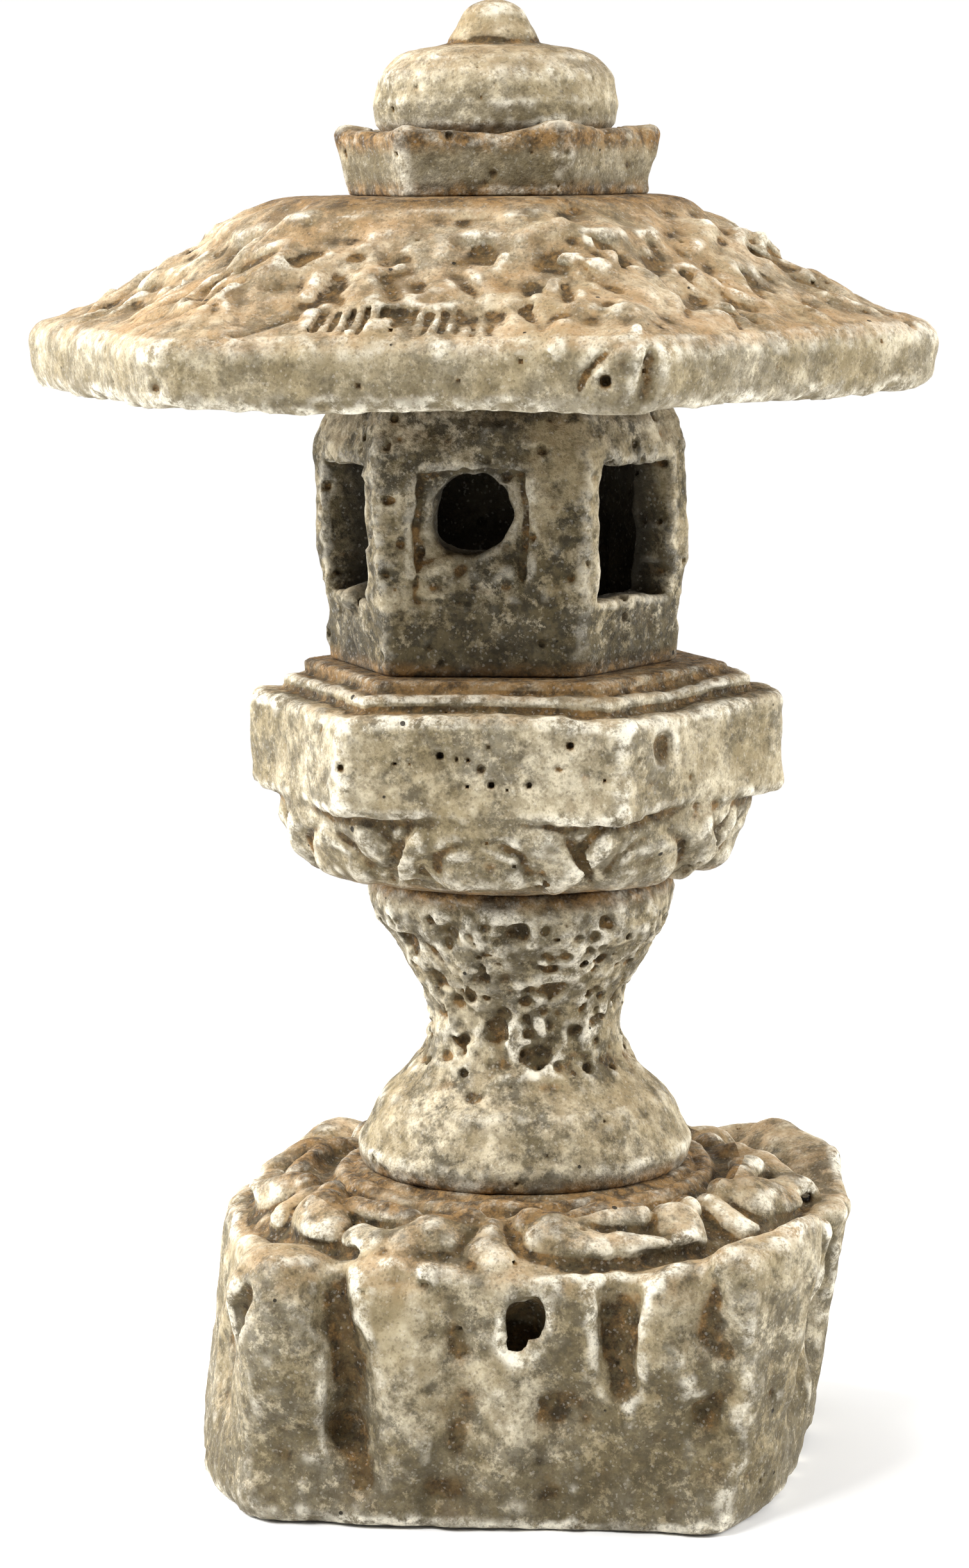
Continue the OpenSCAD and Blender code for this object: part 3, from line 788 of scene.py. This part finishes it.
for angle, along, z, radius in [(-61.85, -24, 46, 3), (-61.85, 22, 60, 3), (-61.85, 3, 31, 5),
                                (61.85, -25, 50, 4), (61.85, -24, 70, 3.5), (61.85, 24, 40, 3),
                                (61.85, -22, 88, 3)]:
    out = around(angle, 1)
    firebox.cut([(out[0] * reach - out[1] * along, out[1] * reach + out[0] * along, BOX_SEAT + z, radius)
                 for reach in (58, 74)], 1.5)
firebox.stroke([(-60, -36, BOX_SEAT + 30, 5), (-54, -30, BOX_SEAT + 31, 6), (-50, -28, BOX_SEAT + 30, 5)], 3)
pit(firebox, 420, (1.0, 2.8), 64, lambda x, y, z: (z > BOX_SEAT + 3) & (z < ROOF_SEAT - 3))
for x in DOWEL_X:
    bore(firebox, x, DOWEL_HOLE, BOX_SEAT - 9, BOX_SEAT + 16)
    bore(firebox, x, DOWEL_HOLE, ROOF_SEAT - 20, ROOF_SEAT + 9)
flat = np.maximum(firebox.z - ROOF_SEAT, BOX_SEAT - firebox.z)
firebox.d = np.maximum(firebox.d, flat)
finish_stone(firebox, "firebox", "firebox",
             cast_stone("firebox_stone", 0.8, 0.15, 1.0, 0.3, 0.352, 0.385, inner_shade_reach=0.0725), 4.0)


# ---- Roof ------------------------------------------------
# A low hexagonal umbrella roof, cast in one piece, about 397 mm across its softened corners and 79 mm high.
# Its slopes carry rough lumps, ripples and a row of short grooves at the front eave; the fascia ends in a
# thin ragged lip that hangs below the seat.

BASIN_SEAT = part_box("dew_basin")[0].z / MM
ROOF_MID, ROD_X = -18, -9
ROD_RADIUS = 5
EAVE_DROP = 3.5      # how far the lip hangs below the seat
FLAT_REACH = 108     # the underside is flat this far out
SIX_SIDED = math.cos(math.pi / 6)      # from a hexagon's corners to its flats
SLOPE = [(-4, 196), (0, 198), (2, 199), (17, 201.5), (21, 200.6), (24.5, 197.5), (27.5, 190), (33, 175),
         (38, 165), (43, 155), (49, 144), (54, 134.5), (59, 128), (65, 121), (70, 110), (73, 105), (76, 98),
         (79, 88), (82, 60)]

roof = Stone((ROOF_MID - 206, -180, ROOF_SEAT - 8), (ROOF_MID + 204, 178, BASIN_SEAT + 3), 1.9,
             shift=ROOF_MID, turn=-2)
zs, radii = zip(*SLOPE)
rise = roof.z - ROOF_SEAT
reach = np.interp(rise, zs, radii) * SIX_SIDED
far = six(roof, 0, 14)
angle = np.degrees(np.arctan2(roof.own_x, -roof.own_y))
facet = (angle + 30) % 60 - 30
swept = 0.88 * (np.abs(facet) / 30) ** 3 * unit((far - 120) / 50)
body = (far - reach) * np.where(rise > 25, 0.5, 1.0) - swept
underside = -rise - EAVE_DROP * unit((far - 110) / 60)
roof.d = both(both(body, roof.z - BASIN_SEAT, 2), underside, 3)
# Ripples that run down the slopes and lumps across them
slope = unit((rise - 26) / 4) * unit((78 - rise) / 5)
across = far * np.tan(np.radians(facet))
lines = np.sin(across / 2.1 + 2.5 * noise(roof.x, roof.y, roof.z, 30, 71))
lines = lines * np.clip((far - 120) / 40, 0.15, 1)
ripple = np.sin((across * 0.5 + far) / 3.4 + 3 * noise(roof.x, roof.y, roof.z, 26, 72))
lump = noise(roof.x, roof.y, roof.z, 17, 73)
pebbles = noise(roof.x, roof.y, roof.z, 8, 80)
roof.d = roof.d - slope * (0.5 * lines + 0.5 * ripple + 3.2 * lump + 0.9 * pebbles)
rng = np.random.default_rng(74)


def slope_place(angle, rise):
    """A place on the slopes at an angle from the front, rise above the roof's seat."""
    out = np.interp(rise, zs, radii) * SIX_SIDED / math.cos(math.radians((angle + 30) % 60 - 30))
    return around(angle, out, ROOF_SEAT + rise)


for k in range(230):
    a, start = rng.uniform(-180, 180), rng.uniform(30, 64)
    drift, run = rng.uniform(-5, 5), rng.uniform(3, 9)
    p, q = slope_place(a, start), slope_place(a + drift, start - run)
    radius, deep = rng.uniform(2.6, 5.5), rng.uniform(0.2, 0.8)
    cut = rng.random() < 0.5
    lift = radius * (1 - deep * 0.9) if cut else -radius * (0.95 - deep * 0.45)
    roof.stroke([(p[0], p[1], p[2] + lift, radius), (q[0], q[1], q[2] + lift, radius * 0.8)], 2.4, cut=cut)
for k in range(12):
    x = -37 + 6.4 * k
    a = math.degrees(math.atan2(x + 1, 165))
    low, high = 27 + rng.uniform(-1, 1), 35 + rng.uniform(-2, 2)
    p, q = slope_place(a, low), slope_place(a * 1.04, high)
    roof.cut([(p[0], p[1], p[2] + 0.3, 2.3), (q[0], q[1], q[2] + 0.5, 2.3)], 1)
roughen(roof, [(60, 1.8, 75), (14, 0.6, 76), (5, 0.35, 77)],
        lambda x, y, z: np.where(np.hypot(x + 16, y) > 110, 1, unit((z - ROOF_SEAT - 0.5) / 4))
        * unit((BASIN_SEAT - 1 - z) / 3))
# The fascia: ragged lip, chipped right corner, crack with its hole
lip = 2.4 * noise(roof.x, roof.y, roof.z, 9, 78)
lip = lip * unit((2 - rise) / 3) * unit((far - 160) / 5)
roof.d = roof.d + np.abs(lip)
roof.cut([(84, -176, ROOF_SEAT + 22, 2), (75, -175, ROOF_SEAT + 12, 1.8), (72, -175, ROOF_SEAT + 6, 1.8)],
         0.6)
roof.cut([(82, -175, ROOF_SEAT + 9, 2.8), (82, -170, ROOF_SEAT + 9, 2)], 0.5)
roof.cut([(99, -174, ROOF_SEAT + 2, 6), (101, -172, ROOF_SEAT + 20, 3)], 2)
pit(roof, 210, (0.9, 2.4), 79, lambda x, y, z: (z > ROOF_SEAT + 3) & (z < BASIN_SEAT - 4))
for x in DOWEL_X:
    bore(roof, x, DOWEL_HOLE, ROOF_SEAT - 9, ROOF_SEAT + 16)
bore(roof, ROD_X, ROD_RADIUS + 0.6, BASIN_SEAT - 32, BASIN_SEAT + 9)
flat = np.maximum(roof.z - BASIN_SEAT, np.where(far < FLAT_REACH, ROOF_SEAT - roof.z, -9))
roof.d = np.maximum(roof.d, flat)
finish_stone(roof, "roof", "roof",
             cast_stone("roof_stone", 1.0, 0.6, 0.6, 0.8, 0.469, 0.476), 5.0, pock=0.001)


# ---- Dew basin -------------------------------------------
# A little cast hexagonal tray about 124 mm across its flats and 27 mm high that narrows downwards, with
# upturned corners and a round seat sunk in its top.

FINIAL_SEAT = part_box("finial")[0].z / MM
basin = Stone((-80, -66, BASIN_SEAT - 3), (64, 66, FINIAL_SEAT + 15), 1.15, shift=-8, turn=1.8)
rise = basin.z - BASIN_SEAT
far = six(basin, 0, 5)
angle = np.degrees(np.arctan2(basin.own_x, -basin.own_y))
corner = (np.abs((angle + 30) % 60 - 30) / 30) ** 3 * unit((far - 35) / 22)
brim = 26.8 + 3.0 * corner + 1.6 * unit((angle - 12) / 14) * (angle < 80)
brim = brim + 0.9 * noise(basin.x, basin.y, 0 * basin.z, 20, 81)
brim = brim - 1.2 * np.exp(-((angle - 8) / 14) ** 2) + 0.9 * np.exp(-((angle + 12) / 5) ** 2)
reach = np.interp(rise, [0, 4, 9, 16, 24, 32], [57.2, 57.6, 58.6, 60, 61.4, 62.0])
basin.d = both(both(far - reach, rise - brim, 5), -rise, 1.5)
basin.stroke([(60, -36, BASIN_SEAT + 25, 6), (54, -46, BASIN_SEAT + 26, 6)], 4)
basin.cut([(-14, -63, BASIN_SEAT + 24.8, 2), (-14, -58, BASIN_SEAT + 25, 1.6)], 0.6)
roughen(basin, [(26, 1.2, 82), (9, 0.8, 83), (4, 0.4, 84)], off_seats(BASIN_SEAT))
pit(basin, 60, (0.8, 1.9), 85, lambda x, y, z: (z > BASIN_SEAT + 3) & (np.hypot(x + 8, y) > 56))
bore(basin, ROD_X, 53.5, FINIAL_SEAT, FINIAL_SEAT + 30)
bore(basin, ROD_X, ROD_RADIUS + 0.6, BASIN_SEAT - 9, FINIAL_SEAT + 9)
basin.d = np.maximum(basin.d, BASIN_SEAT - basin.z)
finish_stone(basin, "dew_basin", "dew_basin",
             cast_stone("basin_stone", 0.8, 0.35, 0.6, 0.75, 0.553, 0.570), 6.0)


# ---- Finial ----------------------------------------------
# A turned flat dome 104 mm across with a rounded knob, 58 mm high in all, cast in one piece.
# It sits in the dew basin and is bored blind for its rod.

FINIAL = [(0, 45), (2, 47.5), (6, 50.6), (15, 52.1), (18, 51.4), (25, 50.0), (28, 48.4), (31, 45.6),
          (34, 42.6), (36.4, 37), (38.2, 29), (39.2, 18.5), (41, 17.8), (44, 16.2), (47, 14.3), (50, 12.8),
          (53.4, 11.4), (56, 8.4), (57.4, 5), (58, 1)]
finial = Stone((ROD_X - 56, -56, FINIAL_SEAT - 3), (ROD_X + 56, 56, FINIAL_SEAT + 61), 1.1, shift=ROD_X)
finial.d = turned(finial, [(FINIAL_SEAT + z, r) for z, r in FINIAL], FINIAL_SEAT, FINIAL_SEAT + 58, 1)
finial.d = melt_in(finial.d, np.maximum(finial.d - 0.6, FINIAL_SEAT + 36 - finial.z), 1)
finial.cut([(-6, -54, FINIAL_SEAT + 3, 4.5), (-1, -54, FINIAL_SEAT + 2, 4)], 2)
roughen(finial, [(30, 0.9, 91), (10, 0.6, 92), (4, 0.35, 93)], off_seats(FINIAL_SEAT))
pit(finial, 45, (0.8, 1.7), 94, lambda x, y, z: z > FINIAL_SEAT + 5)
bore(finial, ROD_X, ROD_RADIUS, FINIAL_SEAT - 9, FINIAL_SEAT + 30)
finial.d = np.maximum(finial.d, FINIAL_SEAT - finial.z)
finish_stone(finial, "finial", "finial",
             cast_stone("finial_stone", 0.8, 0.3, 0.6, 0.75, 0.577, 0.592), 7.0)


# ---- Dowels and rod --------------------------------------
# Ribbed steel bar: two 6 mm dowels at each end of the firebox and a 10 mm rod under the finial, 34 and
# 84 mm long. Hidden until the stones are lifted.


def ribbed_bar():
    """Geometry Nodes that stand a bar with slanting ribs on each point of a mesh."""
    tree, make, link, given = open_tree(
        "ribbed_bar", "Feet", (("Radius", 0.003), ("Length", 0.034), ("Rib pitch", 0.0045),
                               ("Rib height", 0.0002)), "Steel", "Bars")
    _, maths, times = arithmetic(tree)
    bar = make("GeometryNodeMeshCylinder")
    bar.inputs["Vertices"].default_value = 32
    link(maths("DIVIDE", given["Length"], 0.0005), bar.inputs["Side Segments"])
    bar.inputs["Fill Segments"].default_value = 3
    link(maths("SUBTRACT", given["Radius"], given["Rib height"]), bar.inputs["Radius"])
    link(given["Length"], bar.inputs["Depth"])
    place = make("ShaderNodeSeparateXYZ")
    link(make("GeometryNodeInputPosition").outputs[0], place.inputs[0])
    x, y, z = place.outputs
    out = maths("SQRT", maths("ADD", times(x, x), times(y, y)))
    phase = maths("ADD", maths("DIVIDE", times(z, 2 * math.pi), given["Rib pitch"]),
                  times(maths("ABSOLUTE", maths("ARCTAN2", y, x)), 1.5))
    rib = maths("MAXIMUM", maths("SINE", phase), 0)
    near_end = maths("SUBTRACT", maths("DIVIDE", given["Length"], 2), maths("ABSOLUTE", z))
    inward = maths("MAXIMUM", maths("SUBTRACT", 0.0008, near_end), 0)
    push = maths("SUBTRACT", times(rib, given["Rib height"]), inward)
    push = times(push, maths("GREATER_THAN", out, 0.001))
    share = maths("DIVIDE", push, maths("MAXIMUM", out, 0.001))
    shift = make("ShaderNodeCombineXYZ")
    link(times(x, share), shift.inputs[0])
    link(times(y, share), shift.inputs[1])
    move = make("GeometryNodeSetPosition")
    link(bar.outputs["Mesh"], move.inputs["Geometry"])
    link(shift.outputs[0], move.inputs["Offset"])
    stand = make("GeometryNodeInstanceOnPoints")
    link(given["Feet"], stand.inputs["Points"])
    link(move.outputs[0], stand.inputs["Instance"])
    return close_tree(tree, stand.outputs[0], given["Steel"])


def bar_steel():
    """Dull drawn steel with brown rust blooms."""
    material = bpy.data.materials.new("bar_steel")
    material.use_nodes = True
    make, link = material.node_tree.nodes.new, material.node_tree.links.new
    shader = material.node_tree.nodes["Principled BSDF"]
    bloom = make("ShaderNodeTexNoise")
    bloom.inputs["Scale"].default_value = 160
    bloom.inputs["Detail"].default_value = 5
    link(make("ShaderNodeTexCoord").outputs["Object"], bloom.inputs["Vector"])
    rust = make("ShaderNodeValToRGB")
    stops = (0.42, (0.42, 0.41, 0.40, 1)), (0.62, (0.23, 0.09, 0.035, 1))
    for stop, (position, colour) in zip(rust.color_ramp.elements, stops):
        stop.position, stop.color = position, colour
    link(bloom.outputs[0], rust.inputs[0])
    link(rust.outputs[0], shader.inputs["Base Color"])
    shader.inputs["Metallic"].default_value = 0.7
    shader.inputs["Roughness"].default_value = 0.5
    return material


BAR, STEEL = ribbed_bar(), bar_steel()
for node, body, feet, radius in (("platform_dowels", "platform", DOWEL_X, DOWEL_RADIUS),
                                 ("firebox_dowels", "firebox", DOWEL_X, DOWEL_RADIUS),
                                 ("finial_rod", "finial", (ROD_X,), ROD_RADIUS)):
    low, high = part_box(node)
    mesh = bpy.data.meshes.new(node + "_feet")
    mesh.from_pydata([(x * MM, (low.y + high.y) / 2, (low.z + high.z) / 2) for x in feet], [], [])
    bars = bpy.data.objects.new(node + "_bars", mesh)
    into_scene(bars)
    run_nodes(bars, BAR, radius=radius * MM, length=high.z - low.z, steel=STEEL)
    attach(bars, body)
    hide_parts(node)


# ---- Studio ----------------------------------------------
# A plain pale floor under soft light from both sides, above and a little in front.
# The camera stands low, a little to the right of the front, with a long lens.

floor_mesh = bpy.data.meshes.new("floor")
floor_mesh.from_pydata([(-4, -3, 0), (4, -3, 0), (4, 1.35, 0), (-4, 1.35, 0)], [], [(0, 1, 2, 3)])
floor = bpy.data.objects.new("floor", floor_mesh)
into_scene(floor)
paper = bpy.data.materials.new("floor_paper")
paper.use_nodes = True
matte = paper.node_tree.nodes["Principled BSDF"]
matte.inputs["Base Color"].default_value = (0.93, 0.93, 0.93, 1)
matte.inputs["Roughness"].default_value = 0.9
floor_mesh.materials.append(paper)

world = bpy.data.worlds.new("studio")
bpy.context.scene.world = world
world.use_nodes = True
sky = world.node_tree
white = sky.nodes["Background"]
white.inputs[0].default_value = (1, 1, 1, 1)
# White behind the lantern, dimmer in front of it
direction = sky.nodes.new("ShaderNodeSeparateXYZ")
sky.links.new(sky.nodes.new("ShaderNodeTexCoord").outputs["Generated"], direction.inputs[0])
fade = sky.nodes.new("ShaderNodeMapRange")
fade.interpolation_type = "SMOOTHSTEP"
for socket, value in zip(list(fade.inputs)[1:], (-0.4, 0.6, 0.23, 1.02)):
    socket.default_value = value
sky.links.new(direction.outputs["Y"], fade.inputs[0])
sky.links.new(fade.outputs[0], white.inputs[1])
bpy.context.scene.view_settings.view_transform = "Standard"

# Square soft lights, each aimed at a height on the post's axis
for name, place, aim, size, power in (("left_box", (-1.9, 0.35, 0.9), 0.32, 1.3, 70),
                                      ("right_box", (1.9, 0.35, 0.9), 0.32, 1.3, 52),
                                      ("top_box", (-0.7, -1.1, 1.7), 0.35, 0.8, 44)):
    light = bpy.data.lights.new(name, "AREA")
    light.size, light.energy = size, power
    lamp = bpy.data.objects.new(name, light)
    lamp.location = place
    lamp.rotation_euler = (Vector((0, 0, aim)) - Vector(place)).to_track_quat("-Z", "Y").to_euler()
    into_scene(lamp)

camera_data = bpy.data.cameras.new("camera")
camera = bpy.data.objects.new("camera", camera_data)
into_scene(camera)
bpy.context.scene.camera = camera
FRONT_TURN = math.radians(7.5)      # the camera stands this far to the right of the front
PAN = math.radians(0.75)            # the camera's own turn away from the post's axis
PITCH = math.radians(8.45)
ROLL = math.radians(-0.5)
DISTANCE, ASIDE, EYE = 1.841, 0.008, 0.570
camera_data.lens = 98.0
c, s = math.cos(FRONT_TURN), math.sin(FRONT_TURN)
camera.location = (ASIDE * c + DISTANCE * s, ASIDE * s - DISTANCE * c, EYE)
aim = Matrix.Rotation(FRONT_TURN + PAN, 4, "Z") @ Matrix.Rotation(math.pi / 2 - PITCH, 4, "X")
camera.rotation_euler = (aim @ Matrix.Rotation(ROLL, 4, "Z")).to_euler()
